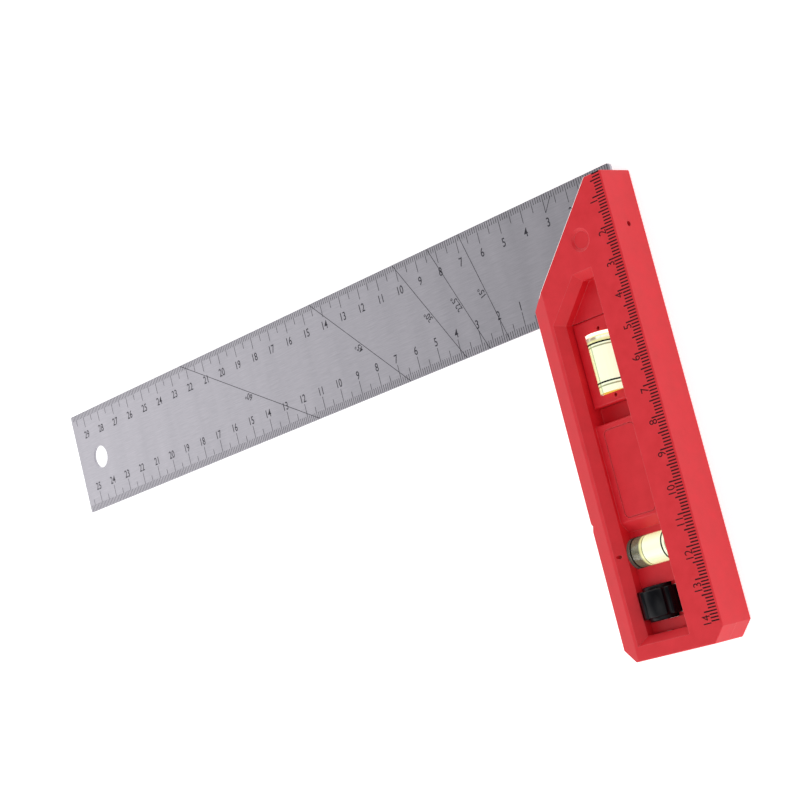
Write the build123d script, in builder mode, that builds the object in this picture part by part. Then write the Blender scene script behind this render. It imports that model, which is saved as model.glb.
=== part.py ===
from build123d import *
import os

# A 300 mm class try and mitre square with two level vials in its plastic handle.
# It lies flat: +Z through its thickness, the blade runs towards -X, the handle towards -Y.
# The origin is the middle of the bounding box on the handle's back face.
# Sketches are drawn from the square's outer corner: the handle's outer edge is x = 0
# and the blade's upper edge is y = 0, so both coordinates are negative inside the tool.

# Driving dimensions, mm
reach = 298.4               # handle's outer edge to the blade's free end
drop = 149.7                # blade's upper edge to the handle's foot
handle_width = 40.0
handle_thickness = 14.5
handle_top = -2.7           # the blade's upper edge stands proud of the handle by this much
blade_width = 40.0
blade_thickness = 1.0
blade_inset = 1.0           # the blade's hidden end stops this far inside the outer edge
blade_corner_radius = 1.2
mitre_start_x = -7.0        # where the 45 degree mitre face meets the top
foot_chamfer_outer = 4.6
foot_chamfer_inner = 4.3
bevel_width = 5.5           # shallow bevel along the handle's inner edge
bevel_drop = 1.1
edge_rounding = 0.4         # moulded rounding of the handle's outside edges
nick_high = -104.6          # small nick in the inner edge
nick_low = -108.1
nick_deepest = -105.9
nick_depth = 0.8

hang_hole_radius = 4.5
hang_hole_from_end = 14.0

pocket_right = -12.8        # front pocket: upright right wall, sloped rim on the other sides
pocket_left = -33.3
pocket_top = -29.7
pocket_foot = -145.2
pocket_mitre = 9.0          # x - y on the pocket's mitre side
rim_run = 2.5
rim_drop = 3.0

gap_top = -71.0             # pocket floors, from the top: nose, vial 1, gap, name plate, vial 2, wheel
plate_top = -76.3
plate_foot = -107.4
ramp_foot = -110.6
nose_floor_drop = 6.0
plate_floor_drop = 4.3
plate_rounding = 0.8
gap_floor = 5.5
plate_line_left = -28.4     # fine groove that frames the name plate
plate_line_right = -15.8
plate_line_top = -78.2
plate_line_foot = -106.4
plate_line_radius = 1.8
plate_line_width = 0.3
plate_line_depth = 0.3

vial_radius = 4.75
vial_bore_radius = 3.9
vial_1_length = 18.9
vial_2_length = 21.0
vial_end_wall = 1.0
vial_plug_length = 2.0
line_spacing = 12.4
line_width = 0.5
line_height = 0.1
vial_1_x = -21.8
vial_1_y = -58.0
vial_2_x = -23.2
vial_2_y = -117.3
vial_2_height = 6.3
seat_gap = 0.15             # clearance round each glued-in vial
glue_hole_radius = 0.6
glue_hole_x = -20.8
glue_hole_2_x = -32.4
liquid_gap = 0.05
bubble_radius = 2.5
bubble_offset = 0.9         # the bubble floats above the vial's axis
bubble_channel_radius = 2.85
bubble_1_length = 2.2
bubble_2_length = 7.4
bubble_end_gap = 0.2
bubble_rounding = 0.9

cradle_height = 6.9
cradle_rounding = 0.8
cradle_floor = 2.0
window_width = 8.0

wheel_x = -25.4
wheel_y = -133.65
wheel_radius = 6.5
wheel_length = 8.2
wheel_hub_radius = 5.0
wheel_hub_length = 10.4
wheel_lobes = 5
wheel_flute_radius = 1.2
wheel_flute_centre = 6.9
wheel_first_flute = -36.0     # degrees round the pin
wheel_slot_length = 8.7
wheel_well_length = 10.9
wheel_pin_radius = 1.0
wheel_pin_top = -124.9      # the pin runs from the ledge above the wheel into the foot wall
wheel_pin_foot = -144.6
ledge_top = -122.2
ledge_height = 1.3          # ledges above and below the wheel cover its pin
wheel_running_gap = 0.05

dish_x = -14.2
dish_y = -20.5
dish_radius = 3.7
dish_drop = 0.6
cap_radius = 2.8
cap_thickness = 1.5
rivet_radius = 1.5
rivet_length = 9.0
rivet_spots = [(dish_x, dish_y), (-7.0, -10.5), (-7.0, -34.0), (-28.0, -30.0)]

screw_spots = [(-6.6, -47.0), (-6.6, -93.0), (-6.6, -139.0), (-36.9, -62.0), (-36.9, -128.0)]
screw_shank_radius = 1.25
screw_head_radius = 2.5
screw_head_height = 1.6
screw_length = 11.0
screw_recess = 2.4

core_left = -10.8           # moulding core in the solid strip beside the pocket
core_right = -2.2
core_top = -43.0
core_foot = -142.0
skin = 2.2
boss_radius = 3.2

side_hole_radius = 0.85
side_hole_y = -20.2
side_hole_depth = 4.0

# Derived dimensions
half = handle_thickness / 2
corner_x = reach / 2
corner_y = drop / 2
blade_low = half - blade_thickness / 2
blade_high = half + blade_thickness / 2
rim_foot_height = handle_thickness - rim_drop
nose_floor = handle_thickness - nose_floor_drop
plate_floor = handle_thickness - plate_floor_drop
well_left = pocket_left + rim_run
well_foot = pocket_foot + rim_run
mitre_offset = pocket_mitre + rim_run * 2 ** 0.5
well_top = well_left - mitre_offset
well_width = pocket_right - well_left
well_middle = (pocket_right + well_left) / 2
plate_line_x = (plate_line_left + plate_line_right) / 2
plate_line_y = (plate_line_top + plate_line_foot) / 2
plate_line_wide = plate_line_right - plate_line_left
plate_line_long = plate_line_top - plate_line_foot
vial_1_top = vial_1_y + vial_1_length / 2
vial_1_foot = vial_1_y - vial_1_length / 2
vial_2_left = vial_2_x - vial_2_length / 2
window_left = vial_1_x - window_width / 2
window_right = vial_1_x + window_width / 2
front_cap_foot = handle_thickness - dish_drop - cap_thickness
boss_spots = screw_spots[:3]


def level(height):
    """Plane at a height above the back face, with its origin under the square's outer corner."""
    return Plane((corner_x, corner_y, height))


def along_y(x, y, height):
    """Plane across the handle's length: its normal is +Y, its local x is +X and its local y is -Z."""
    return Plane((corner_x + x, corner_y + y, height), x_dir=(1, 0, 0), z_dir=(0, 1, 0))


def along_x(x, y, height):
    """Plane across the blade's length: its normal is +X, its local x is +Y and its local y is +Z."""
    return Plane((corner_x + x, corner_y + y, height), x_dir=(0, 1, 0), z_dir=(1, 0, 0))


def rectangle(x0, x1, y0, y1, height):
    """Rectangle between limits in corner coordinates, at a height."""
    with BuildSketch(level(height)) as sketch:
        with Locations(((x0 + x1) / 2, (y0 + y1) / 2)):
            Rectangle(abs(x1 - x0), abs(y1 - y0))
    return sketch.sketch


def circles(spots, radius, height):
    """Equal circles at the given spots, at a height."""
    with BuildSketch(level(height)) as sketch:
        with Locations(*spots):
            Circle(radius)
    return sketch.sketch


def outline(points, height):
    """Closed polygon at a height."""
    with BuildSketch(level(height)) as sketch:
        with BuildLine():
            Polyline(*points, close=True)
        make_face()
    return sketch.sketch


def handle_outline(height):
    """The handle seen from the front: mitred at the top, chamfered at the foot."""
    inner = -handle_width
    return outline(
        [
            (0, handle_top),
            (mitre_start_x, handle_top),
            (inner, handle_top + (inner - mitre_start_x)),
            (inner, -drop + foot_chamfer_inner),
            (inner + foot_chamfer_inner, -drop),
            (-foot_chamfer_outer, -drop),
            (0, -drop + foot_chamfer_outer),
        ],
        height,
    )


def pocket_outline(left, top, foot, mitre, height):
    """The front pocket at one depth: its upper left side runs parallel to the mitre."""
    return outline(
        [
            (pocket_right, top),
            (top + mitre, top),
            (left, left - mitre),
            (left, foot),
            (pocket_right, foot),
        ],
        height,
    )


def on_plate_floor(edge):
    """Whether an edge lies at the height of the name plate."""
    return abs(edge.center().Z - plate_floor) < 0.01


def dish(face_height, outward):
    """Waste of the shallow round dish over the first rivet, cut into one face."""
    with BuildPart() as waste:
        with BuildSketch(level(face_height)):
            with Locations((dish_x, dish_y)):
                Circle(dish_radius)
        with BuildSketch(level(face_height - outward * dish_drop)):
            with Locations((dish_x, dish_y)):
                Circle(cap_radius)
        loft()
    return waste.part


# Hollows that straddle the joint plane, so both shells carry half of each
with BuildPart() as shared_hollows:
    # nick in the inner edge
    inner = -handle_width
    nick_points = [
        (inner, nick_high),
        (inner + nick_depth, nick_deepest),
        (inner, nick_low),
        (inner - 1, nick_deepest),
    ]
    extrude(outline(nick_points, -1), amount=handle_thickness + 2)
    # slot for the blade, open at the top and on the mitre face
    slot_foot = -blade_width - seat_gap
    blade_slot = rectangle(-blade_inset + seat_gap, -handle_width - 1, 1, slot_foot, blade_low)
    extrude(blade_slot, amount=blade_thickness)
    # small hole in the outer edge
    with BuildSketch(along_x(-side_hole_depth, side_hole_y, half)):
        Circle(side_hole_radius)
    extrude(amount=side_hole_depth + 1)
    # round socket for vial 2, running into both side walls of the pocket
    with BuildSketch(along_x(vial_2_left - seat_gap, vial_2_y, vial_2_height)):
        Circle(vial_radius + seat_gap)
    extrude(amount=vial_2_length + 2 * seat_gap)
    # slot in the pocket's left wall that the wheel turns in
    slot_left = wheel_x - wheel_radius - 0.4
    slot_low = wheel_y - wheel_slot_length / 2
    slot_high = wheel_y + wheel_slot_length / 2
    wheel_slot = rectangle(slot_left, well_left, slot_low, slot_high, half - 5)
    extrude(wheel_slot, amount=rim_foot_height - half + 5)
    # bearing for the wheel's pin
    with BuildSketch(along_y(wheel_x, wheel_pin_foot, half)):
        Circle(wheel_pin_radius + 0.01)
    extrude(amount=wheel_pin_top - wheel_pin_foot)

# Stainless steel blade with its hanging hole and the holes for the rivets
with BuildPart() as blade:
    extrude(rectangle(-reach, -blade_inset, -blade_width, 0, blade_low), amount=blade_thickness)
    hidden_corner = blade.edges().filter_by(Axis.Z).sort_by(Axis.X)[-2:].sort_by(Axis.Y)[-1]
    fillet(hidden_corner, blade_corner_radius)
    hang_hole = circles([(-reach + hang_hole_from_end, -blade_width / 2)], hang_hole_radius, blade_low)
    extrude(hang_hole, amount=blade_thickness, mode=Mode.SUBTRACT)
    rivet_holes = circles(rivet_spots, rivet_radius + 0.02, blade_low)
    extrude(rivet_holes, amount=blade_thickness, mode=Mode.SUBTRACT)
blade.part.label = "blade"

# Front half of the handle, from the joint plane up to the front face
with BuildPart() as front_shell:
    extrude(handle_outline(half), amount=half)
    front_face = front_shell.faces().sort_by(Axis.Z)[-1]
    inner_edge = front_face.edges().filter_by(Axis.Y).sort_by(Axis.X)[0]
    chamfer(inner_edge, bevel_width, bevel_drop, reference=front_face)
    fillet(front_shell.edges().filter_by(lambda edge: edge.center().Z > half + 0.1), edge_rounding)
    # sloped rim of the pocket
    rim_top = pocket_outline(pocket_left, pocket_top, pocket_foot, pocket_mitre, handle_thickness)
    rim_foot = pocket_outline(well_left, pocket_top - rim_run, well_foot, mitre_offset, rim_foot_height)
    loft([rim_top, rim_foot], mode=Mode.SUBTRACT)
    # shallow floor in the pocket's nose, above the blade
    nose_top = pocket_top - rim_run
    nose_points = [
        (pocket_right, nose_top),
        (nose_top + mitre_offset, nose_top),
        (well_left, well_top),
        (pocket_right, well_top),
    ]
    extrude(outline(nose_points, nose_floor), amount=rim_foot_height - nose_floor, mode=Mode.SUBTRACT)
    # the rest of the pocket, stepped along its length, drawn in side profile
    with BuildSketch(along_x(well_left, 0, 0)):
        with BuildLine():
            Polyline(
                (well_top, rim_foot_height),
                (well_top, half),
                (plate_top, half),
                (plate_top, plate_floor),
                (plate_foot, plate_floor),
                (ramp_foot, half),
                (well_foot, half),
                (well_foot, rim_foot_height),
                close=True,
            )
        make_face()
    extrude(amount=well_width, mode=Mode.SUBTRACT)
    plate_edges = front_shell.edges().filter_by(Axis.X).filter_by(on_plate_floor)
    fillet(plate_edges, plate_rounding)
    add(shared_hollows.part, mode=Mode.SUBTRACT)
    # fine groove round the name plate
    with BuildSketch(level(plate_floor)):
        with Locations((plate_line_x, plate_line_y)):
            RectangleRounded(plate_line_wide, plate_line_long, plate_line_radius)
            RectangleRounded(
                plate_line_wide - 2 * plate_line_width,
                plate_line_long - 2 * plate_line_width,
                plate_line_radius - plate_line_width,
                mode=Mode.SUBTRACT,
            )
    extrude(amount=-plate_line_depth, mode=Mode.SUBTRACT)
    # glue hole over the left end of vial 2
    glue_hole = circles([(glue_hole_2_x, vial_2_y)], glue_hole_radius, half + 2)
    extrude(glue_hole, amount=half, mode=Mode.SUBTRACT)
    # dished seat of the cap over the first rivet, and the rivets' holes
    add(dish(handle_thickness, 1), mode=Mode.SUBTRACT)
    cap_seat = circles([(dish_x, dish_y)], cap_radius, front_cap_foot)
    extrude(cap_seat, amount=cap_thickness + 0.1, mode=Mode.SUBTRACT)
    extrude(circles(rivet_spots, rivet_radius + 0.02, half), amount=rivet_length / 2, mode=Mode.SUBTRACT)
    # moulding core beside the pocket, with a boss round each screw
    front_core = rectangle(core_left, core_right, core_top, core_foot, half)
    extrude(front_core, amount=half - skin, mode=Mode.SUBTRACT)
    extrude(circles(boss_spots, boss_radius, half), amount=half - skin)
    pilot_holes = circles(screw_spots, screw_shank_radius, half)
    extrude(pilot_holes, amount=screw_recess + screw_length - half, mode=Mode.SUBTRACT)
front_shell.part.label = "front_shell"

# Back half of the handle, from the back face up to the joint plane
with BuildPart() as back_shell:
    extrude(handle_outline(0), amount=half)
    back_face = back_shell.faces().sort_by(Axis.Z)[0]
    inner_edge = back_face.edges().filter_by(Axis.Y).sort_by(Axis.X)[0]
    chamfer(inner_edge, bevel_width, bevel_drop, reference=back_face)
    fillet(back_shell.edges().filter_by(lambda edge: edge.center().Z < half - 0.1), edge_rounding)
    # bed of the vial 1 cradle, and vial 1's window through the back
    cradle_bed = rectangle(well_left, pocket_right, well_top, gap_top, cradle_floor)
    extrude(cradle_bed, amount=half, mode=Mode.SUBTRACT)
    vial_1_window = rectangle(window_left, window_right, vial_1_top, vial_1_foot, 0)
    extrude(vial_1_window, amount=half, mode=Mode.SUBTRACT)
    # recess between the cradle and the name plate
    gap = rectangle(well_left, pocket_right, gap_top, plate_top, gap_floor)
    extrude(gap, amount=half, mode=Mode.SUBTRACT)
    # window of vial 2 through the back
    window_low = vial_2_y - window_width / 2
    window_high = vial_2_y + window_width / 2
    vial_2_window = rectangle(well_left + 1, pocket_right - 1, window_low, window_high, 0)
    extrude(vial_2_window, amount=half, mode=Mode.SUBTRACT)
    # well of the thumb wheel, open at the back, with a narrower bay at each end for its hub
    well_low = wheel_y - wheel_well_length / 2
    well_high = wheel_y + wheel_well_length / 2
    wheel_well = rectangle(well_left, wheel_x + wheel_radius + 0.6, slot_low, slot_high, 0)
    extrude(wheel_well, amount=half, mode=Mode.SUBTRACT)
    hub_reach = wheel_hub_radius + 0.3
    hub_bays = rectangle(wheel_x - hub_reach, wheel_x + hub_reach, well_low, well_high, 0)
    extrude(hub_bays, amount=half, mode=Mode.SUBTRACT)
    # ledges that hold the wheel's pin, one above the wheel and one below it
    for ledge_foot, ledge_head in ((well_high, ledge_top), (well_foot + 0.1, well_low)):
        ledge = rectangle(well_left + 0.1, pocket_right - 0.1, ledge_foot, ledge_head, half)
        extrude(ledge, amount=ledge_height)
    add(shared_hollows.part, mode=Mode.SUBTRACT)
    # dished seat of the back cap, and the rivets' holes
    add(dish(0, -1), mode=Mode.SUBTRACT)
    extrude(circles([(dish_x, dish_y)], cap_radius, dish_drop), amount=cap_thickness, mode=Mode.SUBTRACT)
    rivet_pockets = circles(rivet_spots, rivet_radius + 0.02, half - rivet_length / 2)
    extrude(rivet_pockets, amount=rivet_length / 2, mode=Mode.SUBTRACT)
    # moulding core with its screw bosses, then the screws' holes and head recesses
    back_core = rectangle(core_left, core_right, core_top, core_foot, skin)
    extrude(back_core, amount=half - skin, mode=Mode.SUBTRACT)
    extrude(circles(boss_spots, boss_radius, skin), amount=half - skin)
    extrude(circles(screw_spots, screw_shank_radius + 0.1, 0), amount=half, mode=Mode.SUBTRACT)
    extrude(circles(screw_spots, screw_head_radius + 0.1, 0), amount=screw_recess, mode=Mode.SUBTRACT)
back_shell.part.label = "back_shell"

# Steel rivets that pin the blade between the shells
with BuildPart() as blade_rivets:
    extrude(circles(rivet_spots, rivet_radius, half - rivet_length / 2), amount=rivet_length)
blade_rivets.part.label = "blade_rivets"

# Plastic caps that close the first rivet's hole on both faces
with BuildPart() as front_rivet_cap:
    extrude(circles([(dish_x, dish_y)], cap_radius - 0.02, front_cap_foot), amount=cap_thickness)
front_rivet_cap.part.label = "front_rivet_cap"

with BuildPart() as back_rivet_cap:
    extrude(circles([(dish_x, dish_y)], cap_radius - 0.02, dish_drop), amount=cap_thickness)
back_rivet_cap.part.label = "back_rivet_cap"

# Self-tapping screws with cross recesses, driven from the back
with BuildPart() as shell_screws:
    head_foot = screw_recess - screw_head_height
    extrude(circles(screw_spots, screw_head_radius, head_foot), amount=screw_head_height)
    extrude(circles(screw_spots, screw_shank_radius - 0.02, screw_recess), amount=screw_length - 0.3)
    for side_x, side_y in ((2.8, 0.6), (0.6, 2.8)):
        with BuildSketch(level(head_foot)):
            with Locations(*screw_spots):
                Rectangle(side_x, side_y)
        extrude(amount=0.9, mode=Mode.SUBTRACT)
shell_screws.part.label = "shell_screws"

# Cradle that carries vial 1 in the middle of the handle, with a glue hole at each end
with BuildPart() as vial_1_cradle:
    cradle_left = well_left + 0.1
    cradle_right = pocket_right - 0.1
    block = rectangle(cradle_left, cradle_right, well_top - 0.1, gap_top + 0.1, cradle_floor)
    extrude(block, amount=cradle_height)
    fillet(vial_1_cradle.faces().sort_by(Axis.Z)[-1].edges(), cradle_rounding)
    with BuildSketch(along_y(vial_1_x, vial_1_foot - seat_gap, half)):
        Circle(vial_radius + seat_gap)
    extrude(amount=vial_1_length + 2 * seat_gap, mode=Mode.SUBTRACT)
    light_slot = rectangle(window_left, window_right, vial_1_top - 1, vial_1_foot + 1, cradle_floor)
    extrude(light_slot, amount=cradle_height, mode=Mode.SUBTRACT)
    glue_spots = [(glue_hole_x, vial_1_top + 1.4), (glue_hole_x, vial_1_foot - 1.2)]
    extrude(circles(glue_spots, glue_hole_radius, half - 2), amount=half, mode=Mode.SUBTRACT)
vial_1_cradle.part.label = "vial_1_cradle"


def vial_body(plane, length):
    """Clear acrylic tube along the plane's normal, closed at its first end."""
    with BuildPart() as tube:
        with BuildSketch(plane):
            Circle(vial_radius)
        extrude(amount=length)
        chamfer(tube.edges().filter_by(GeomType.CIRCLE), 0.1)
        with BuildSketch(plane.offset(vial_end_wall)):
            Circle(vial_bore_radius)
        extrude(amount=length - vial_end_wall, mode=Mode.SUBTRACT)
    return tube.part


def vial_liquid(plane, length):
    """Filling of the bore, open along the channel that the bubble floats in."""
    with BuildPart() as filling:
        with BuildSketch(plane.offset(vial_end_wall + liquid_gap)):
            Circle(vial_bore_radius - liquid_gap)
            with Locations((0, bubble_offset)):
                Circle(bubble_channel_radius, mode=Mode.SUBTRACT)
            with Locations((0, bubble_offset + vial_bore_radius)):
                Rectangle(2 * bubble_channel_radius, 2 * vial_bore_radius, mode=Mode.SUBTRACT)
        extrude(amount=length - vial_end_wall - vial_plug_length - 2 * liquid_gap)
    return filling.part


def vial_bubble(plane, bubble_length):
    """Air bubble, a rounded slug that floats above the vial's axis, at rest by the closed end."""
    with BuildPart() as slug:
        with BuildSketch(plane.offset(vial_end_wall + bubble_end_gap)):
            with Locations((0, bubble_offset)):
                Circle(bubble_radius)
        extrude(amount=bubble_length)
        fillet(slug.edges().filter_by(GeomType.CIRCLE), bubble_rounding)
    return slug.part


def vial_lines(plane, length):
    """The two black reading lines, thin rings round the tube."""
    with BuildPart() as rings:
        for side in (-1, 1):
            middle = length / 2 + side * line_spacing / 2
            with BuildSketch(plane.offset(middle - line_width / 2)):
                Circle(vial_radius + line_height)
                Circle(vial_radius + 0.01, mode=Mode.SUBTRACT)
            extrude(amount=line_width)
    return rings.part


def vial_plug(plane, length):
    """Plug that closes the tube's second end."""
    with BuildPart() as stopper:
        with BuildSketch(plane.offset(length - vial_plug_length)):
            Circle(vial_bore_radius - 0.02)
        extrude(amount=vial_plug_length)
    return stopper.part


# Vial 1 lies along the handle with its closed end at the top.
# Vial 2 lies across it with its closed end on the blade's side.
vial_1_origin = (corner_x + vial_1_x, corner_y + vial_1_top, half)
vial_2_origin = (corner_x + vial_2_left, corner_y + vial_2_y, vial_2_height)
vial_1_plane = Plane(vial_1_origin, x_dir=(-1, 0, 0), z_dir=(0, -1, 0))
vial_2_plane = Plane(vial_2_origin, x_dir=(0, 1, 0), z_dir=(1, 0, 0))
vial_places = [
    ("vial_1", vial_1_plane, vial_1_length, bubble_1_length),
    ("vial_2", vial_2_plane, vial_2_length, bubble_2_length),
]
vial_pieces = []
for vial_name, vial_plane, vial_length, bubble_length in vial_places:
    made = [
        ("body", vial_body(vial_plane, vial_length)),
        ("liquid", vial_liquid(vial_plane, vial_length)),
        ("bubble", vial_bubble(vial_plane, bubble_length)),
        ("lines", vial_lines(vial_plane, vial_length)),
        ("plug", vial_plug(vial_plane, vial_length)),
    ]
    for piece_name, piece in made:
        piece.label = f"{vial_name}_{piece_name}"
        vial_pieces.append(piece)

# Black fluted thumb wheel on a steel pin along the handle
with BuildPart() as thumb_wheel:
    with BuildSketch(along_y(wheel_x, wheel_y - wheel_length / 2, half)):
        Circle(wheel_radius)
        with PolarLocations(wheel_flute_centre, wheel_lobes, start_angle=wheel_first_flute):
            Circle(wheel_flute_radius, mode=Mode.SUBTRACT)
    extrude(amount=wheel_length)
    with BuildSketch(along_y(wheel_x, wheel_y - wheel_hub_length / 2, half)):
        Circle(wheel_hub_radius)
    extrude(amount=wheel_hub_length)
    with BuildSketch(along_y(wheel_x, wheel_y - wheel_hub_length / 2, half)):
        Circle(wheel_pin_radius + wheel_running_gap)
    extrude(amount=wheel_hub_length, mode=Mode.SUBTRACT)
thumb_wheel.part.label = "thumb_wheel"

with BuildPart() as wheel_pin:
    with BuildSketch(along_y(wheel_x, wheel_pin_foot, half)):
        Circle(wheel_pin_radius)
    extrude(amount=wheel_pin_top - wheel_pin_foot)
wheel_pin.part.label = "wheel_pin"

os.makedirs("parts", exist_ok=True)
single_pieces = [
    blade, front_shell, back_shell, blade_rivets, front_rivet_cap, back_rivet_cap,
    shell_screws, vial_1_cradle, thumb_wheel, wheel_pin,
]
for piece in [single.part for single in single_pieces] + vial_pieces:
    export_step(piece, f"parts/{piece.label}.step")
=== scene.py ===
import math
import bpy
from mathutils import Matrix, Vector


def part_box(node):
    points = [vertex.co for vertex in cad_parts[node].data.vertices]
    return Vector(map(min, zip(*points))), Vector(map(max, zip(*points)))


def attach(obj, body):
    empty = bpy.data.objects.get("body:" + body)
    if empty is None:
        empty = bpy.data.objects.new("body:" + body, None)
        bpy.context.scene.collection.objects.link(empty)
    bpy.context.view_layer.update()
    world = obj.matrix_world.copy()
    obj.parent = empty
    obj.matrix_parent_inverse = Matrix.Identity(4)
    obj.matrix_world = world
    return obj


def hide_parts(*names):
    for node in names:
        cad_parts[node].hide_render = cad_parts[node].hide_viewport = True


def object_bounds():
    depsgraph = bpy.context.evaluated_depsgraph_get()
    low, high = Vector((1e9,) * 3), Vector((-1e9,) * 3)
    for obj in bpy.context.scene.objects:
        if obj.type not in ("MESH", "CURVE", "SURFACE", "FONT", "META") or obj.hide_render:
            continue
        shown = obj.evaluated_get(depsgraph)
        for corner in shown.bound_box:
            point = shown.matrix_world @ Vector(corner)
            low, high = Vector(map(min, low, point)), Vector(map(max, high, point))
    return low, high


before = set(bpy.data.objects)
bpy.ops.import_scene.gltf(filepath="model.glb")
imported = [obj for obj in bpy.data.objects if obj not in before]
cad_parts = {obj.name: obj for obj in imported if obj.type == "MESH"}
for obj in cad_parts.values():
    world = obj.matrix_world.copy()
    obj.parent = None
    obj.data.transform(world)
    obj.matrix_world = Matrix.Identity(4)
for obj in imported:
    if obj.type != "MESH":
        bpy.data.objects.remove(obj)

# The square lies on its back: the blade runs towards -X, the handle towards -Y.
cad_box = [list(limit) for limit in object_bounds()]


# BLADE. A 1 mm strip of stainless steel, sheared and punched, then ground along its length
# on a belt. The belt leaves fine scratches that run with the blade and soften what it mirrors.
MM = 0.001


def linear(code):
    """sRGB hex colour as linear RGBA."""
    parts = [int(code[k:k + 2], 16) / 255 for k in (1, 3, 5)]
    return tuple(c / 12.92 if c <= 0.04045 else ((c + 0.055) / 1.055) ** 2.4 for c in parts) + (1,)


def add(tree, kind, inputs=(), **settings):
    """One shader node with its settings, and its inputs set or linked."""
    made = tree.nodes.new("ShaderNode" + kind)
    for name, value in settings.items():
        setattr(made, name, value)
    for name, value in dict(inputs).items():
        if isinstance(value, bpy.types.NodeSocket):
            tree.links.new(value, made.inputs[name])
        else:
            made.inputs[name].default_value = value
    return made


def finish_named(name):
    """A new material with an empty node tree."""
    material = bpy.data.materials.new(name)
    material.use_nodes = True
    material.node_tree.nodes.clear()
    return material, material.node_tree


def wear(material, *nodes):
    """Give CAD nodes this material on their whole surface."""
    for node in nodes:
        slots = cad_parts[node].data.materials
        slots.clear()
        slots.append(material)


brushed_stainless, tree = finish_named("stainless_steel_belt_ground")
place = add(tree, "TexCoord").outputs["Object"]
# scratches: finer than can show, so drawn 0.3 mm apart and 7 mm long
along = add(tree, "Mapping", {"Vector": place, "Scale": (1 / (7 * MM), 1 / (0.3 * MM), 1)})
scratches = add(tree, "TexNoise", {"Vector": along.outputs[0], "Scale": 1, "Detail": 4, "Roughness": 0.7})
# chatter of the belt: very faint bands across the blade, about 9 mm apart
across = add(tree, "Mapping", {"Vector": place, "Scale": (1 / (9 * MM), 1 / (60 * MM), 1)})
chatter = add(tree, "TexNoise", {"Vector": across.outputs[0], "Scale": 1, "Detail": 2})
mixed = add(tree, "Mix", {
    "Factor": 0.3, "A": scratches.outputs[0], "B": chatter.outputs[0],
}, data_type="FLOAT")
tone = add(tree, "ValToRGB", {"Fac": mixed.outputs["Result"]})
tone.color_ramp.elements[0].position = 0.3
tone.color_ramp.elements[0].color = linear("#a5a3aa")
tone.color_ramp.elements[1].position = 0.7
tone.color_ramp.elements[1].color = linear("#bfbcc3")
dull = add(tree, "MapRange", {
    "Value": mixed.outputs["Result"], "From Min": 0.3, "From Max": 0.7, "To Min": 0.27,
    "To Max": 0.35,
})
ridges = add(tree, "Bump", {"Height": scratches.outputs[0], "Strength": 0.2, "Distance": 0.02 * MM})
steel = add(tree, "BsdfPrincipled", {
    "Base Color": tone.outputs[0], "Metallic": 1.0, "Roughness": dull.outputs[0],
    "Normal": ridges.outputs[0],
})
add(tree, "OutputMaterial", {"Surface": steel.outputs[0]})
wear(brushed_stainless, "blade")

# BLADE MARKS. Two centimetre scales, the angle lines and their numbers, etched and
# blackened. The upper scale starts at the outer corner, the lower one at the handle's edge.
# Places are given from the square's outer corner, where the handle's outer edge meets the
# line of the blade's upper edge.
blade_low, blade_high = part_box("blade")
shell_low, shell_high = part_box("front_shell")
corner = Vector((shell_high.x, blade_high.y, 0))
MARK = 0.012 * MM           # the filling stands just clear of the steel
mark_width = 0.24 * MM
upper_ticks = (2.2, 4.5, 6.2)   # millimetre, half centimetre and centimetre marks, mm long
lower_ticks = (2.6, 4.7, 7.1)
digit_height, digit_inset, digit_weight = 3.0, 9.2, 0.008
label_height, label_back, label_aside, label_weight = 2.5, 1.0, 1.8, 0.01
# each line's label, its angle from square across, and its middle along the blade
angle_lines = [
    ("15°", 15, -63.2), ("22.5°", 22.5, -75.4), ("30°", 30, -89.5), ("45°", 45, -125.6), ("60°", 60, -188.5),
]


def bar(sheet, start, end, width):
    """A straight mark from start to end, in metres from the corner."""
    side = (end - start).normalized().orthogonal() * width / 2
    first = len(sheet[0])
    sheet[0].extend([start + side, end + side, end - side, start - side])
    sheet[1].append([first, first + 1, first + 2, first + 3])


def number(sheet, text, middle, height, turn=0.0, squeeze=0.82, spread=1.0, weight=0.0):
    """A number, its middle at a place, in a plain upright type."""
    curve = bpy.data.curves.new("type", "FONT")
    curve.body = text
    curve.resolution_u = 4
    curve.space_character = spread
    curve.offset = weight
    glyphs = bpy.data.objects.new("type", curve)
    bpy.context.collection.objects.link(glyphs)
    drawn = bpy.data.meshes.new_from_object(glyphs.evaluated_get(bpy.context.evaluated_depsgraph_get()))
    xs = [v.co.x for v in drawn.vertices]
    ys = [v.co.y for v in drawn.vertices]
    scale = height / 0.72
    spin = Matrix.Rotation(turn, 2)
    first = len(sheet[0])
    for v in drawn.vertices:
        sideways = v.co.x - (min(xs) + max(xs)) / 2
        upright = v.co.y - (min(ys) + max(ys)) / 2
        sheet[0].append(middle + spin @ Vector((sideways * scale * squeeze, upright * scale)))
    sheet[1].extend([[first + k for k in face.vertices] for face in drawn.polygons])
    bpy.data.objects.remove(glyphs)
    bpy.data.curves.remove(curve)
    bpy.data.meshes.remove(drawn)


def printed(name, sheet, height, material):
    """The marks as one thin skin at a height, facing up."""
    mesh = bpy.data.meshes.new(name)
    mesh.from_pydata([(corner.x + p.x, corner.y + p.y, height) for p in sheet[0]], [], sheet[1])
    mesh.materials.append(material)
    piece = bpy.data.objects.new(name, mesh)
    bpy.context.collection.objects.link(piece)
    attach(piece, "handle")
    return piece


etched_black, tree = finish_named("black_oxide_etching")
place = add(tree, "TexCoord").outputs["Object"]
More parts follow.
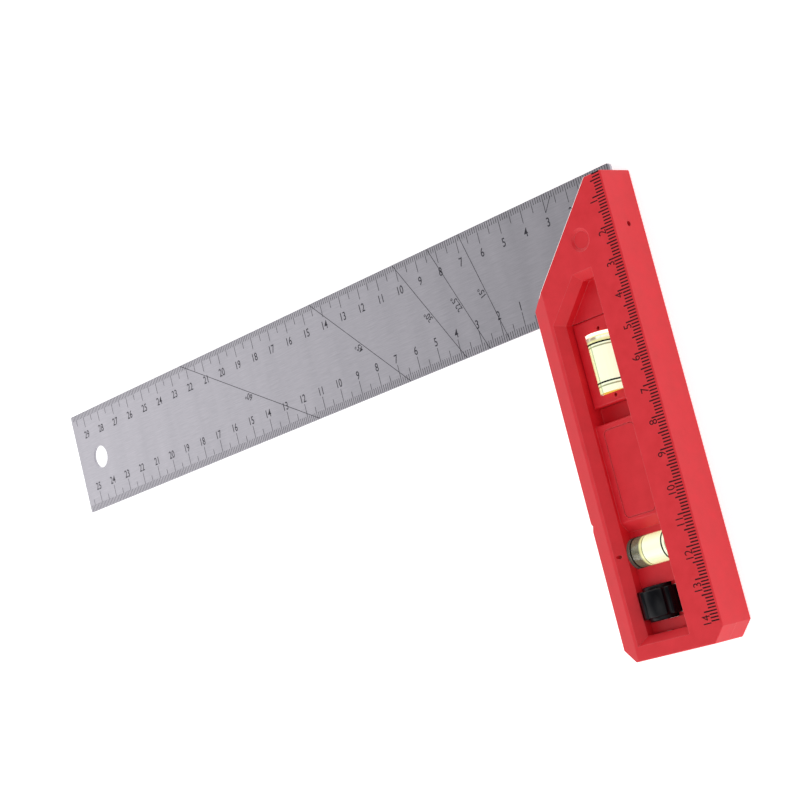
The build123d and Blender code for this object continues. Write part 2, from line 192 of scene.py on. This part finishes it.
# a dark oxide skin on the steel: it still mirrors a little, in patches about 1 mm across
patches = add(tree, "TexNoise", {"Vector": place, "Scale": 1 / (1 * MM), "Detail": 2})
filling = add(tree, "ValToRGB", {"Fac": patches.outputs[0]})
filling.color_ramp.elements[0].color = linear("#3c3b40")
filling.color_ramp.elements[1].color = linear("#5c5a61")
ink = add(tree, "BsdfPrincipled", {"Base Color": filling.outputs[0], "Metallic": 1.0, "Roughness": 0.45})
add(tree, "OutputMaterial", {"Surface": ink.outputs[0]})

blade_marks = ([], [])
width = (blade_high.y - blade_low.y) / MM
reach = (corner.x - blade_low.x) / MM
handle_width = (shell_high.x - shell_low.x) / MM
for step in range(2, int(reach)):
    length = upper_ticks[2 if step % 10 == 0 else 1 if step % 5 == 0 else 0]
    bar(blade_marks, Vector((-step, 0)) * MM, Vector((-step, -length)) * MM, mark_width)
    if step % 10 == 0 and step > 10:
        place = Vector((-step, -digit_inset)) * MM
        number(blade_marks, str(step // 10), place, digit_height * MM, weight=digit_weight)
for step in range(1, int(reach - handle_width)):
    length = lower_ticks[2 if step % 10 == 0 else 1 if step % 5 == 0 else 0]
    x = -handle_width - step
    bar(blade_marks, Vector((x, -width)) * MM, Vector((x, length - width)) * MM, mark_width)
    if step % 10 == 0:
        place = Vector((x, digit_inset - width)) * MM
        number(blade_marks, str(step // 10), place, digit_height * MM, weight=digit_weight)
for label, degrees, middle in angle_lines:
    slope = math.tan(math.radians(degrees)) * width / 2
    top, foot = Vector((middle - slope, -0.1)), Vector((middle + slope, 0.1 - width))
    bar(blade_marks, top * MM, foot * MM, mark_width)
    up_line = (top - foot).normalized()
    beside = Vector((-up_line.y, up_line.x))
    place = (top + foot) / 2 - up_line * label_back + beside * label_aside
    turn = math.atan2(up_line.y, up_line.x)
    number(blade_marks, label, place * MM, label_height * MM, turn=turn, weight=label_weight)
# short stroke that makes a V with the third centimetre mark
bar(blade_marks, Vector((-30, -6.2)) * MM, Vector((-26.6, -1.6)) * MM, mark_width)
printed("blade_marks", blade_marks, blade_high.z + MARK, etched_black)

# HANDLE. Two half shells of red ABS, injection moulded in a spark-eroded tool that leaves a
# fine satin grain. Edges come out of the tool a little rounded; they are painted paler, partly as rubbed wear
# and partly as a painted highlight.
red_abs, tree = finish_named("red_abs_moulded_satin")
place = add(tree, "TexCoord").outputs["Object"]
soft_edge = add(tree, "Bevel", {"Radius": 0.22 * MM}, samples=6)
straight = add(tree, "NewGeometry").outputs["Normal"]
# the two halves are scraped flush along the outer edge, so no rounding shows there at the joint
height = add(tree, "SeparateXYZ", {"Vector": place}).outputs["Z"]
from_joint = add(tree, "Math", {0: height, 1: shell_low.z}, operation="SUBTRACT").outputs[0]
distance = add(tree, "Math", {0: from_joint}, operation="ABSOLUTE").outputs[0]
near_joint = add(tree, "Math", {0: distance, 1: 0.5 * MM}, operation="LESS_THAN")
faces_out = add(tree, "SeparateXYZ", {"Vector": straight}).outputs["X"]
outward = add(tree, "Math", {0: faces_out, 1: 0.9}, operation="GREATER_THAN")
flush = add(tree, "Math", {0: near_joint.outputs[0], 1: outward.outputs[0]}, operation="MULTIPLY")
rounded = add(tree, "Mix", {
    "Factor": flush.outputs[0], "A": soft_edge.outputs[0], "B": straight,
}, data_type="VECTOR")
# colour: flow of the plastic, patches about 5 mm across
flow = add(tree, "TexNoise", {"Vector": place, "Scale": 1 / (5 * MM), "Detail": 5, "Roughness": 0.65})
tint = add(tree, "ValToRGB", {"Fac": flow.outputs[0]})
tint.color_ramp.elements[0].position = 0.3
tint.color_ramp.elements[0].color = linear("#d21623")
tint.color_ramp.elements[1].position = 0.7
tint.color_ramp.elements[1].color = linear("#dc202d")
# grain of the tool: finer than can show, drawn 0.45 mm across
grain = add(tree, "TexNoise", {"Vector": place, "Scale": 1 / (0.45 * MM), "Detail": 3, "Roughness": 0.6})
satin = add(tree, "Bump", {
    "Height": grain.outputs[0], "Strength": 0.35, "Distance": 0.04 * MM,
    "Normal": rounded.outputs["Result"],
})
# rounded edges painted paler, where the rounded normal leaves the flat one: partly rubbed wear, partly a
# painted highlight
agree = add(tree, "VectorMath", {0: rounded.outputs["Result"], 1: straight}, operation="DOT_PRODUCT")
worn_and_highlit_edge = add(tree, "MapRange", {
    "Value": agree.outputs["Value"], "From Min": 0.995, "From Max": 0.93, "To Min": 0.0,
    "To Max": 0.3,
})
pale = add(tree, "Mix", {
    "Factor": worn_and_highlit_edge.outputs[0], "A": tint.outputs[0], "B": linear("#f08a8c"),
}, data_type="RGBA")
# painted highlight: the mitre's front edge is painted white, a line 0.35 mm wide, for the light its rounded
# edge catches
mitre_reach = 4.3 * MM
where = add(tree, "SeparateXYZ", {"Vector": place})
across = add(tree, "Math", {0: where.outputs["X"], 1: where.outputs["Y"]}, operation="SUBTRACT").outputs[0]
beyond = add(tree, "Math", {
    0: across, 1: corner.x - corner.y - mitre_reach,
}, operation="SUBTRACT").outputs[0]
mitre_highlight_band = add(tree, "Math", {0: beyond, 1: 0.35 * math.sqrt(2) * MM}, operation="LESS_THAN").outputs[0]
front_skin = add(tree, "Math", {
    0: where.outputs["Z"], 1: shell_high.z - 0.4 * MM,
}, operation="GREATER_THAN").outputs[0]
painted_mitre_highlight = add(tree, "Math", {0: mitre_highlight_band, 1: front_skin}, operation="MULTIPLY").outputs[0]
pale = add(tree, "Mix", {
    "Factor": painted_mitre_highlight, "A": pale.outputs["Result"], "B": linear("#fff4f2"),
}, data_type="RGBA")
sheen = add(tree, "MapRange", {
    "Value": flow.outputs[0], "From Min": 0.3, "From Max": 0.7, "To Min": 0.40, "To Max": 0.52,
})
plastic = add(tree, "BsdfPrincipled", {
    "Base Color": pale.outputs["Result"], "Roughness": sheen.outputs[0], "IOR": 1.53,
    "Specular IOR Level": 0.38, "Normal": satin.outputs[0],
})
add(tree, "OutputMaterial", {"Surface": plastic.outputs[0]})
wear(red_abs, "front_shell", "back_shell", "front_rivet_cap", "back_rivet_cap", "vial_1_cradle")

# HANDLE SCALE. Centimetres from the blade's upper edge down the outer edge of the front
# face, pad printed in black ink that the satin grain breaks up a little.
pad_ink, tree = finish_named("black_pad_print")
place = add(tree, "TexCoord").outputs["Object"]
broken = add(tree, "TexNoise", {"Vector": place, "Scale": 1 / (0.45 * MM), "Detail": 3})
film = add(tree, "ValToRGB", {"Fac": broken.outputs[0]})
film.color_ramp.elements[0].color = linear("#120407")
film.color_ramp.elements[1].color = linear("#380c12")
ink = add(tree, "BsdfPrincipled", {
    "Base Color": film.outputs[0], "Roughness": 0.6, "Specular IOR Level": 0.15,
})
add(tree, "OutputMaterial", {"Surface": ink.outputs[0]})

handle_marks = ([], [])
scale_start = -0.5
scale_ticks = (3.5, 4.6, 5.4)
scale_mark_width = 0.44
scale_digit_height, scale_digit_x = 3.1, -5.2
one_digit_below, two_digits_below = 1.3, 2.3
for step in range(3, 144):
    length = scale_ticks[2 if step % 10 == 0 else 1 if step % 5 == 0 else 0]
    bar(handle_marks, Vector((scale_start, -step)) * MM, Vector((-length, -step)) * MM, scale_mark_width * MM)
    if step % 10 == 0:
        below = one_digit_below if step < 100 else two_digits_below
        place = Vector((scale_digit_x, -step - below)) * MM
        number(handle_marks, str(step // 10), place, scale_digit_height * MM, turn=math.pi / 2)
printed("handle_marks", handle_marks, shell_high.z + MARK, pad_ink)

# RIVETS, SCREWS AND PIN. Mild steel, bright zinc plated in a barrel, so each is softly
# mirror-like with a faint bloom and small knocks.
zinc_plate, tree = finish_named("steel_bright_zinc")
place = add(tree, "TexCoord").outputs["Object"]
# bloom of the passivation, patches about 0.8 mm across
bloom = add(tree, "TexNoise", {"Vector": place, "Scale": 1 / (0.8 * MM), "Detail": 3})
colour = add(tree, "ValToRGB", {"Fac": bloom.outputs[0]})
colour.color_ramp.elements[0].color = linear("#b4b8bc")
colour.color_ramp.elements[1].color = linear("#d2d3d1")
cloud = add(tree, "MapRange", {
    "Value": bloom.outputs[0], "From Min": 0.3, "From Max": 0.7, "To Min": 0.22, "To Max": 0.38,
})
knocks = add(tree, "Bump", {"Height": bloom.outputs[0], "Strength": 0.2, "Distance": 0.05 * MM})
zinc = add(tree, "BsdfPrincipled", {
    "Base Color": colour.outputs[0], "Metallic": 1.0, "Roughness": cloud.outputs[0],
    "Normal": knocks.outputs[0],
})
add(tree, "OutputMaterial", {"Surface": zinc.outputs[0]})
wear(zinc_plate, "blade_rivets", "shell_screws", "wheel_pin")

# LEVEL VIALS. Each is a clear acrylic tube, turned and polished, closed by a plug and filled
# with yellow-green dyed spirit, whose glow in the light from behind is painted in. Two black lines are
# painted round the tube.
clear_acrylic, tree = finish_named("clear_acrylic_polished")
place = add(tree, "TexCoord").outputs["Object"]
# turning leaves a very slight waviness, about 3 mm from crest to crest; the wall is given a pale tint
# and a faint painted glow, standing in for the light that comes through the window behind it
wave = add(tree, "TexNoise", {"Vector": place, "Scale": 1 / (3 * MM), "Detail": 1})
wavy = add(tree, "Bump", {"Height": wave.outputs[0], "Strength": 0.05, "Distance": 0.1 * MM})
# painted glow: the closed end of the tube over the window is given the most emission
end_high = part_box("vial_1_body")[1]
along = add(tree, "SeparateXYZ", {"Vector": place}).outputs["Y"]
painted_end_glow = add(tree, "MapRange", {
    "Value": along, "From Min": end_high.y - 1.1 * MM, "From Max": end_high.y - 0.8 * MM,
    "To Min": 0.03, "To Max": 0.5,
})
acrylic = add(tree, "BsdfPrincipled", {
    "Base Color": linear("#f6ffe0"), "Roughness": 0.02, "IOR": 1.49,
    "Transmission Weight": 0.93, "Normal": wavy.outputs[0],
    "Emission Color": linear("#fdfdf2"), "Emission Strength": painted_end_glow.outputs[0],
})
add(tree, "OutputMaterial", {"Surface": acrylic.outputs[0]})
wear(clear_acrylic, "vial_1_body", "vial_2_body")


def turned(name, axis_from, axis_to, profile, sides=64):
    """A closed turned piece: profile lists (share of the axis, radius in mm)."""
    direction = (axis_to - axis_from).normalized()
    across_axis = direction.orthogonal().normalized()
    other = direction.cross(across_axis)
    points, faces = [], []
    for share, radius in profile:
        centre = axis_from.lerp(axis_to, share)
        for k in range(sides):
            angle = 2 * math.pi * k / sides
            points.append(centre + (across_axis * math.cos(angle) + other * math.sin(angle)) * radius * MM)
    for ring in range(len(profile) - 1):
        for k in range(sides):
            a, b = ring * sides + k, ring * sides + (k + 1) % sides
            faces.append([a, b, b + sides, a + sides])
    faces.append(list(range(sides))[::-1])
    faces.append([(len(profile) - 1) * sides + k for k in range(sides)])
    mesh = bpy.data.meshes.new(name)
    mesh.from_pydata(points, [], faces)
    mesh.polygons.foreach_set("use_smooth", [True] * len(mesh.polygons))
    mesh.set_sharp_from_angle(angle=math.radians(40))
    piece = bpy.data.objects.new(name, mesh)
    bpy.context.collection.objects.link(piece)
    return piece


def axis_ends(node, direction):
    """The two ends of a turned node's axis, in the given direction."""
    low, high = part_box(node)
    middle, half = (low + high) / 2, (high - low) / 2
    return middle - direction * abs(half.dot(direction)), middle + direction * abs(half.dot(direction))


# the spirit wets the bore, so it is drawn a hair larger than it and fills the tube to the eye
spirit_radius = 3.93
air_radius = 3.95
line_ghost = 0.95 * MM      # each painted line shows again through the spirit this far along
ghost_width = 0.22 * MM
glint_offset, glint_width = -0.40, 0.10
# each vial's last two colours paint the image of what lies under its bubble, dim and bright; vial_2's are
# darker, painted shade
vials = [
    ("vial_1", Vector((0, -1, 0)), "bubble_1", "Y", "#8e6560", "#d8cfc0"),
    ("vial_2", Vector((1, 0, 0)), "bubble_2", "X", "#33291c", "#665c40"),
]
for vial, direction, bubble, axis, dim, bright in vials:
    number_of_axis = "XYZ".index(axis)
    tube_low, tube_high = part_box(vial + "_body")
    lines_low, lines_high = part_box(vial + "_lines")
    centre = (tube_low + tube_high) / 2

    dyed_spirit_painted_glow, tree = finish_named(vial + "_dyed_spirit_painted_glow")
    # painted backlight: nearly white in the middle, as if lit from behind, and the dye painted deepest at the
    # sides of the tube, by how squarely the surface faces the viewer
    facing = add(tree, "LayerWeight", {"Blend": 0.42}).outputs["Facing"]
    dye_and_backlight = add(tree, "ValToRGB", {"Fac": facing})
    dye_and_backlight.color_ramp.elements[0].position = 0.1
    dye_and_backlight.color_ramp.elements[0].color = linear("#fffff0")
    dye_and_backlight.color_ramp.elements[1].position = 0.85
    dye_and_backlight.color_ramp.elements[1].color = linear("#bdb42c")
    between = dye_and_backlight.color_ramp.elements.new(0.5)
    between.color = linear("#fbfda4")
    coords = add(tree, "TexCoord")
    where = add(tree, "SeparateXYZ", {"Vector": coords.outputs["Object"]})
    # painted image: each painted line is drawn again as a dark green band on the spirit, where it would show
    # through the spirit
    ghosts = []
    for line in (lines_low, lines_high):
        inwards = 0.2 * MM if line is lines_low else -0.2 * MM
        ghost = line[number_of_axis] + inwards + direction[number_of_axis] * line_ghost
        off = add(tree, "Math", {0: where.outputs[axis], 1: ghost}, operation="SUBTRACT").outputs[0]
        off = add(tree, "Math", {0: off}, operation="ABSOLUTE").outputs[0]
        faded = add(tree, "MapRange", {
            "Value": off, "From Min": ghost_width / 2, "From Max": ghost_width * 1.5,
            "To Min": 0.85, "To Max": 0.0,
        })
        ghosts.append(faded.outputs[0])
    both = add(tree, "Math", {0: ghosts[0], 1: ghosts[1]}, operation="ADD").outputs[0]
    ghosted = add(tree, "Mix", {
        "Factor": both, "A": dye_and_backlight.outputs[0], "B": linear("#6b6a18"),
    }, data_type="RGBA").outputs["Result"]
    if vial == "vial_1":
        # painted reflection: a soft green line is painted along the tube where the bore's crest shows
        lean = add(tree, "SeparateXYZ", {"Vector": coords.outputs["Normal"]}).outputs["X"]
        off = add(tree, "Math", {0: lean, 1: glint_offset}, operation="SUBTRACT").outputs[0]
        off = add(tree, "Math", {0: off}, operation="ABSOLUTE").outputs[0]
        painted_crest_line = add(tree, "MapRange", {
            "Value": off, "From Min": 0.0, "From Max": glint_width, "To Min": 0.9, "To Max": 0.0,
        }).outputs[0]
        ghosted = add(tree, "Mix", {
            "Factor": painted_crest_line, "A": ghosted, "B": linear("#7f9a6a"),
        }, data_type="RGBA").outputs["Result"]
    # painted glow: the spirit's colour is given as emission, standing for the light it lets through, and its
    # own scattered colour is kept dark
    body_tint = add(tree, "Mix", {
        "Factor": 0.75, "A": ghosted, "B": linear("#000000"),
    }, data_type="RGBA").outputs["Result"]
    spirit = add(tree, "BsdfPrincipled", {
        "Base Color": body_tint, "Roughness": 0.05, "IOR": 1.36,
        "Emission Color": ghosted, "Emission Strength": 0.92,
    })
    add(tree, "OutputMaterial", {"Surface": spirit.outputs[0]})

    start, end = axis_ends(vial + "_liquid", direction)
    plug_end = axis_ends(vial + "_plug", direction)[1]
    lift = centre - (start + end) / 2
    lift -= direction * lift.dot(direction)
    outline = [(0, 3.5), (0.02, spirit_radius), (1, spirit_radius)]
    filling = turned(vial + "_spirit", start + lift, plug_end, outline)
    filling.data.materials.append(dyed_spirit_painted_glow)
    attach(filling, "handle")
    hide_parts(vial + "_liquid", vial + "_plug")

    trapped_air, tree = finish_named(vial + "_trapped_air")
    # the meniscus is painted as a thin dark line with a painted bright band behind it; what lies under the
    # bubble is painted as if seen through it bent out of shape, in patches about 1 mm across, darker where it
    # lies in shade
    start, end = axis_ends(vial + "_bubble", direction)
    coords = add(tree, "TexCoord")
    where = add(tree, "SeparateXYZ", {"Vector": coords.outputs["Object"]}).outputs[axis]
    last = end[number_of_axis]
    off = add(tree, "Math", {0: where, 1: last}, operation="SUBTRACT").outputs[0]
    behind = add(tree, "Math", {0: off}, operation="ABSOLUTE").outputs[0]
    bent = add(tree, "TexNoise", {
        "Vector": coords.outputs["Object"], "Scale": 1 / (1 * MM), "Detail": 2,
        "Distortion": 1.5,
    })
    painted_under_image = add(tree, "ValToRGB", {"Fac": bent.outputs[0]})
    painted_under_image.color_ramp.elements[0].position = 0.35
    painted_under_image.color_ramp.elements[0].color = linear(dim)
    painted_under_image.color_ramp.elements[1].position = 0.65
    painted_under_image.color_ramp.elements[1].color = linear(bright)
    under = painted_under_image.outputs[0]
    if vial == "vial_1":
        # painted light: the window behind this bubble is painted white on all but its side towards the blade
        lean = add(tree, "SeparateXYZ", {"Vector": coords.outputs["Normal"]}).outputs["X"]
        painted_window_light = add(tree, "MapRange", {
            "Value": lean, "From Min": 0.18, "From Max": 0.32, "To Min": 0.0, "To Max": 1.0,
        }).outputs[0]
        under = add(tree, "Mix", {
            "Factor": painted_window_light, "A": under, "B": linear("#ffffff"),
        }, data_type="RGBA").outputs["Result"]
    # the far end of a long bubble is darkened, as the pocket's wall shades it at rest
    shade = add(tree, "MapRange", {
        "Value": behind, "From Min": 4.3 * MM, "From Max": 5.3 * MM, "To Min": 0.0,
        "To Max": 0.9,
    }).outputs[0]
    under = add(tree, "Mix", {
        "Factor": shade, "A": under, "B": linear("#160c0a"),
    }, data_type="RGBA").outputs["Result"]
    # painted light: a bright band is painted just behind the meniscus, and a thin dark line at it
    painted_meniscus_band = add(tree, "MapRange", {
        "Value": behind, "From Min": 0.9 * MM, "From Max": 1.6 * MM, "To Min": 0.0,
        "To Max": 1.0,
    }).outputs[0]
    glow = add(tree, "Mix", {
        "Factor": painted_meniscus_band, "A": linear("#f4ecb0"), "B": under,
    }, data_type="RGBA").outputs["Result"]
    rim = add(tree, "MapRange", {
        "Value": behind, "From Min": 0.2 * MM, "From Max": 0.35 * MM, "To Min": 0.0,
        "To Max": 1.0,
    }).outputs[0]
    skin = add(tree, "Mix", {
        "Factor": rim, "A": linear("#6a651c"), "B": glow,
    }, data_type="RGBA").outputs["Result"]
    # painted glow: the bubble's colour is given as emission, and its own scattered colour is kept dark
    body_tint = add(tree, "Mix", {
        "Factor": 0.75, "A": skin, "B": linear("#000000"),
    }, data_type="RGBA").outputs["Result"]
    air = add(tree, "BsdfPrincipled", {
        "Base Color": body_tint, "Roughness": 0.03, "IOR": 1.36,
        "Emission Color": skin, "Emission Strength": 0.85,
    })
    add(tree, "OutputMaterial", {"Surface": air.outputs[0]})
    lift = centre - (start + end) / 2
    lift -= direction * lift.dot(direction)
    slug = turned(vial + "_air", start + lift, end + lift, [(0, 3.6), (0.04, air_radius), (1, air_radius)])
    slug.data.materials.append(trapped_air)
    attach(slug, bubble)
    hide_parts(vial + "_bubble")

line_paint, tree = finish_named("black_line_paint")
place = add(tree, "TexCoord").outputs["Object"]
brushed_on = add(tree, "TexNoise", {"Vector": place, "Scale": 1 / (0.6 * MM), "Detail": 2})
uneven = add(tree, "MapRange", {"Value": brushed_on.outputs[0], "To Min": 0.25, "To Max": 0.5})
paint = add(tree, "BsdfPrincipled", {
    "Base Color": linear("#050602"), "Roughness": uneven.outputs[0], "Specular IOR Level": 0.1,
})
add(tree, "OutputMaterial", {"Surface": paint.outputs[0]})
wear(line_paint, "vial_1_lines", "vial_2_lines")

# THUMB WHEEL. Black nylon, moulded, with five broad lobes to turn it by and a round
# shoulder at each end that bears against the handle. Its lobes are polished by fingers.
wheel_low, wheel_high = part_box("thumb_wheel")
wheel_middle = (wheel_low + wheel_high) / 2
lobes = 5
wheel_radius, flute_radius, flute_centre = 6.5, 1.2, 6.9
shoulder_radius, bore_radius = 5.0, 1.06
lobed_half, shoulder_half = 4.28, 5.38
first_flute = math.radians(36)
sides = 240


def lobe_radius(angle, limit):
    """The wheel's outline: a circle with rounded flutes, softened where they meet."""
    slice_angle = 2 * math.pi / lobes
    off = (angle + slice_angle / 2) % slice_angle - slice_angle / 2
    inside = flute_radius ** 2 - (flute_centre * math.sin(off)) ** 2
    flute = flute_centre * math.cos(off) - math.sqrt(inside) if inside > 0 else 99
    soft = 0.35
    blend = max(soft - abs(flute - limit), 0) / soft
    return min(flute, limit) - blend * blend * soft / 4


# each ring of the outline is its place along the pin and its radius at an angle
edge = 0.3
lobe_edge = [(0, 0.5), (0.15, 0.2), (0.5, 0)]
rings = [
    (-shoulder_half, lambda a: bore_radius), (-shoulder_half, lambda a: shoulder_radius - edge),
    (-shoulder_half + edge, lambda a: shoulder_radius), (-lobed_half, lambda a: shoulder_radius),
]
for back, drop in lobe_edge:
    rings.append((-lobed_half + back, lambda a, drop=drop: lobe_radius(a, wheel_radius) - drop))
for back, drop in reversed(lobe_edge):
    rings.append((lobed_half - back, lambda a, drop=drop: lobe_radius(a, wheel_radius) - drop))
rings += [
    (lobed_half, lambda a: shoulder_radius), (shoulder_half - edge, lambda a: shoulder_radius),
    (shoulder_half, lambda a: shoulder_radius - edge), (shoulder_half, lambda a: bore_radius),
]
points, faces = [], []
for y, radius in rings:
    for k in range(sides):
        angle = 2 * math.pi * k / sides
        turn = angle + first_flute
        outwards = Vector((radius(angle) * math.cos(turn), y, radius(angle) * math.sin(turn)))
        points.append(wheel_middle + outwards * MM)
for ring in range(len(rings)):
    following = (ring + 1) % len(rings)
    for k in range(sides):
        turn = (k + 1) % sides
        faces.append([ring * sides + turn, ring * sides + k, following * sides + k, following * sides + turn])
mesh = bpy.data.meshes.new("fluted_wheel")
mesh.from_pydata(points, [], faces)
mesh.polygons.foreach_set("use_smooth", [True] * len(mesh.polygons))
mesh.set_sharp_from_angle(angle=math.radians(50))
fluted_wheel = bpy.data.objects.new("fluted_wheel", mesh)
bpy.context.collection.objects.link(fluted_wheel)

black_nylon, tree = finish_named("black_nylon_moulded")
place = add(tree, "TexCoord").outputs["Object"]
rubs = add(tree, "TexNoise", {"Vector": place, "Scale": 1 / (1.5 * MM), "Detail": 4})
worn = add(tree, "ValToRGB", {"Fac": rubs.outputs[0]})
worn.color_ramp.elements[0].color = linear("#040508")
worn.color_ramp.elements[1].color = linear("#0a0b12")
gloss = add(tree, "MapRange", {
    "Value": rubs.outputs[0], "From Min": 0.3, "From Max": 0.7, "To Min": 0.3, "To Max": 0.42,
})
skin = add(tree, "TexNoise", {"Vector": place, "Scale": 1 / (0.4 * MM), "Detail": 2})
pitted = add(tree, "Bump", {"Height": skin.outputs[0], "Strength": 0.15, "Distance": 0.03 * MM})
nylon = add(tree, "BsdfPrincipled", {
    "Base Color": worn.outputs[0], "Roughness": gloss.outputs[0], "IOR": 1.53,
    "Specular IOR Level": 0.17, "Normal": pitted.outputs[0],
})
add(tree, "OutputMaterial", {"Surface": nylon.outputs[0]})
fluted_wheel.data.materials.append(black_nylon)
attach(fluted_wheel, "wheel")
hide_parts("thumb_wheel")

# FLOOR AND LIGHT. A plain white sheet that glows a little, so that it stays even, under a
# pale sky that is brightest low down and away from the handle. One large soft lamp stands on
# the handle's side and a weaker one on the blade's side.
floor_mesh = bpy.data.meshes.new("floor")
floor_mesh.from_pydata([(-4, -4, 0), (4, -4, 0), (4, 4, 0), (-4, 4, 0)], [], [[0, 1, 2, 3]])
floor = bpy.data.objects.new("floor", floor_mesh)
bpy.context.collection.objects.link(floor)
floor.location.z = cad_box[0][2] - 0.02 * MM
white_sheet, tree = finish_named("white_paper_sheet")
place = add(tree, "TexCoord").outputs["Object"]
tooth = add(tree, "TexNoise", {"Vector": place, "Scale": 1 / (40 * MM), "Detail": 3})
white = add(tree, "ValToRGB", {"Fac": tooth.outputs[0]})
white.color_ramp.elements[0].color = linear("#e3e3e3")
white.color_ramp.elements[1].color = linear("#e8e8e8")
paper = add(tree, "BsdfPrincipled", {
    "Base Color": white.outputs[0], "Roughness": 0.9,
    "Emission Color": linear("#ffffff"), "Emission Strength": 0.6,
})
add(tree, "OutputMaterial", {"Surface": paper.outputs[0]})
floor_mesh.materials.append(white_sheet)

sky = bpy.data.worlds.new("studio")
sky.use_nodes = True
direction = add(sky.node_tree, "TexCoord").outputs["Generated"]
height = add(sky.node_tree, "SeparateXYZ", {"Vector": direction}).outputs["Z"]
dome = add(sky.node_tree, "ValToRGB", {"Fac": height})
dome.color_ramp.elements[0].position = 0.59
dome.color_ramp.elements[0].color = (1, 1, 1, 1)
dome.color_ramp.elements[1].position = 0.81
dome.color_ramp.elements[1].color = (0.08, 0.08, 0.083, 1)
# the side behind the handle is dimmer
side = add(sky.node_tree, "SeparateXYZ", {"Vector": direction}).outputs["X"]
dimmer = add(sky.node_tree, "MapRange", {
    "Value": side, "From Min": -0.2, "From Max": 0.6, "To Min": 1.0, "To Max": 0.6,
})
glow = add(sky.node_tree, "VectorMath", {0: dome.outputs[0], "Scale": dimmer.outputs[0]}, operation="SCALE")
sky.node_tree.links.new(glow.outputs["Vector"], sky.node_tree.nodes["Background"].inputs["Color"])
sky.node_tree.nodes["Background"].inputs["Strength"].default_value = 1.52
bpy.context.scene.world = sky
bpy.context.scene.view_settings.view_transform = "Standard"


def soft_lamp(name, place, aim, size, watts):
    """A square soft box at a place, turned to an aim point."""
    lamp = bpy.data.lights.new(name, "AREA")
    lamp.size = size
    lamp.energy = watts
    holder = bpy.data.objects.new(name, lamp)
    bpy.context.collection.objects.link(holder)
    holder.location = place
    holder.rotation_euler = (Vector(aim) - Vector(place)).to_track_quat("-Z", "Y").to_euler()


soft_lamp("key_lamp", (0.5, -0.35, 1.3), (0, 0, 0), 0.9, 3.9)
soft_lamp("fill_lamp", (-0.6, -0.6, 0.9), (0.1, -0.05, 0), 0.8, 2.2)

# CAMERA. It looks down from the handle's side with the blade going away from it, turned
# so that the handle hangs at the lower right.
lens = bpy.data.cameras.new("camera")
lens.sensor_width = 36
lens.lens = 91.17
lens.clip_start = 0.01
camera_roll = math.radians(-95.857)
camera = bpy.data.objects.new("camera", lens)
bpy.context.collection.objects.link(camera)
camera_place = Vector((0.51694, -0.06819, 0.49831))
looked_at = Vector((0.03577, 0.03038, 0.00725))
camera.location = camera_place
aimed = (looked_at - camera_place).to_track_quat("-Z", "Y").to_matrix()
camera.rotation_euler = (aimed @ Matrix.Rotation(camera_roll, 3, "Z")).to_euler()
bpy.context.scene.camera = camera
